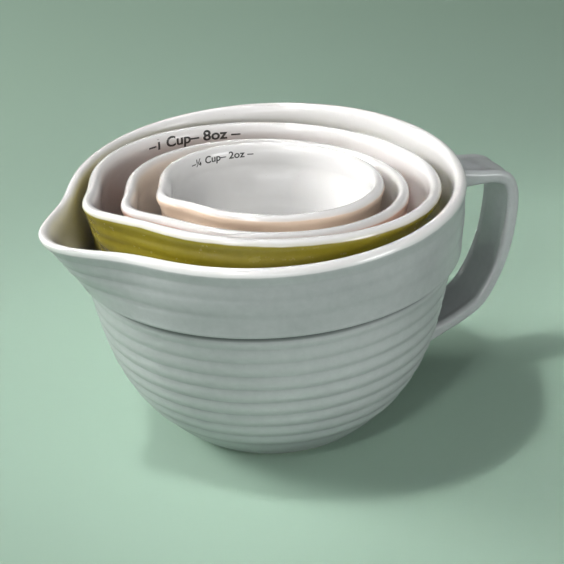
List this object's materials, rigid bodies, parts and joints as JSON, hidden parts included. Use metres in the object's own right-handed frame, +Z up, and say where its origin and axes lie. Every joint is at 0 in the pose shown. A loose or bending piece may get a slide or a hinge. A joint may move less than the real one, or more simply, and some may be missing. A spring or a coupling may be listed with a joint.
{
  "type": "measuring cup set",
  "caption": "Nested glazed ceramic measuring cups with pouring spouts and ringed outsides; the outermost has a flat strap handle.",
  "frame": {"origin": "centre of the overall box in plan, on the plane the large cup stands on", "axes": "+X from the spouts to the handle, +Z up from the table"},
  "size_m": [0.1398, 0.1036, 0.0771],
  "materials": {
    "large_cup_glaze": "satin blue-grey glaze outside, white gloss inside",
    "one_cup_glaze": "gloss olive glaze outside, white gloss inside",
    "half_cup_glaze": "satin terracotta pink glaze outside, white gloss inside",
    "quarter_cup_glaze": "satin pale peach glaze outside, white gloss inside"
  },
  "bodies": {
    "large_cup": {"large_cup": "large_cup_glaze", "large_cup_handle": "large_cup_glaze"},
    "one_cup_measure": {"one_cup_measure": "one_cup_glaze"},
    "half_cup_measure": {"half_cup_measure": "half_cup_glaze"},
    "quarter_cup_measure": {"quarter_cup_measure": "quarter_cup_glaze"}
  },
  "joints": [
    {"name": "one_cup_lift", "type": "slide", "parent": "large_cup", "child": "one_cup_measure", "axis": [0.0941, 0.0521, 0.9942], "range_m": [0, 0.085]},
    {"name": "half_cup_lift", "type": "slide", "parent": "one_cup_measure", "child": "half_cup_measure", "axis": [0.0941, 0.0521, 0.9942], "range_m": [0, 0.075]},
    {"name": "quarter_cup_lift", "type": "slide", "parent": "half_cup_measure", "child": "quarter_cup_measure", "axis": [0.0941, 0.0521, 0.9942], "range_m": [0, 0.065]}
  ]
}
